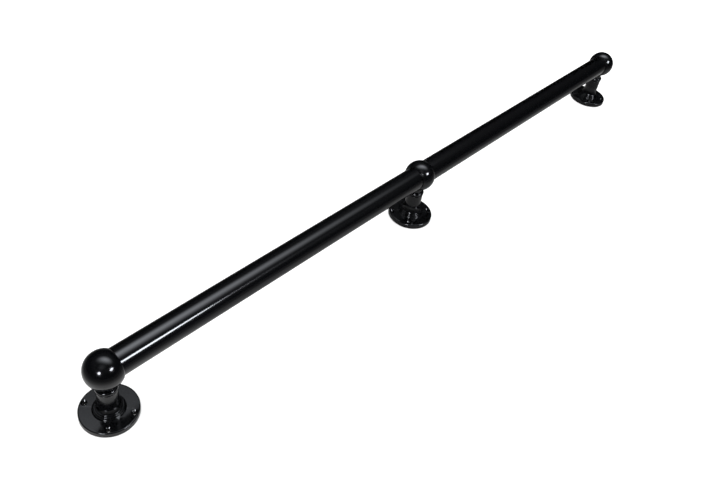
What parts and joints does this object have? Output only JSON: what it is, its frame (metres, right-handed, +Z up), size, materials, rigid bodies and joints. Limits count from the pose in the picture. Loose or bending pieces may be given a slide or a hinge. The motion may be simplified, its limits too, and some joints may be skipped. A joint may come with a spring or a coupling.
{
  "type": "handrail",
  "caption": "Straight round handrail tube carried low over a deck by ball brackets, each a turned pillar on a round screw-down flange.",
  "frame": {"origin": "on the deck, below the middle of the whole length", "axes": "+X along the rail, +Z up from the deck, +Y to the back, where the grub screws are"},
  "size_m": [1.315, 0.075, 0.1124],
  "materials": {
    "black_coated_metal": "black semi-gloss coating",
    "black_coated_tube": "black semi-gloss coating, brushed along under the coat",
    "blackened_screw_steel": "blackened steel"
  },
  "bodies": {
    "rail": {"rail_tube": "black_coated_tube", "left_base_flange": "black_coated_metal", "left_pillar": "black_coated_metal", "left_neck_washer": "black_coated_metal", "left_neck_collar": "black_coated_metal", "left_ball": "black_coated_metal", "left_clamp_screw": "blackened_screw_steel", "left_grub_screws": "blackened_screw_steel", "right_base_flange": "black_coated_metal", "right_pillar": "black_coated_metal", "right_neck_washer": "black_coated_metal", "right_neck_collar": "black_coated_metal", "right_ball": "black_coated_metal", "right_clamp_screw": "blackened_screw_steel", "right_grub_screws": "blackened_screw_steel"},
    "middle_bracket": {"middle_base_flange": "black_coated_metal", "middle_pillar": "black_coated_metal", "middle_neck_washer": "black_coated_metal", "middle_neck_collar": "black_coated_metal", "middle_ball": "black_coated_metal", "middle_clamp_screw": "blackened_screw_steel", "middle_grub_screws": "blackened_screw_steel"}
  },
  "joints": [
    {"name": "middle_bracket_slide", "type": "slide", "parent": "rail", "child": "middle_bracket", "axis": [1, 0, 0], "range_m": [-0.521, 0.563]}
  ]
}
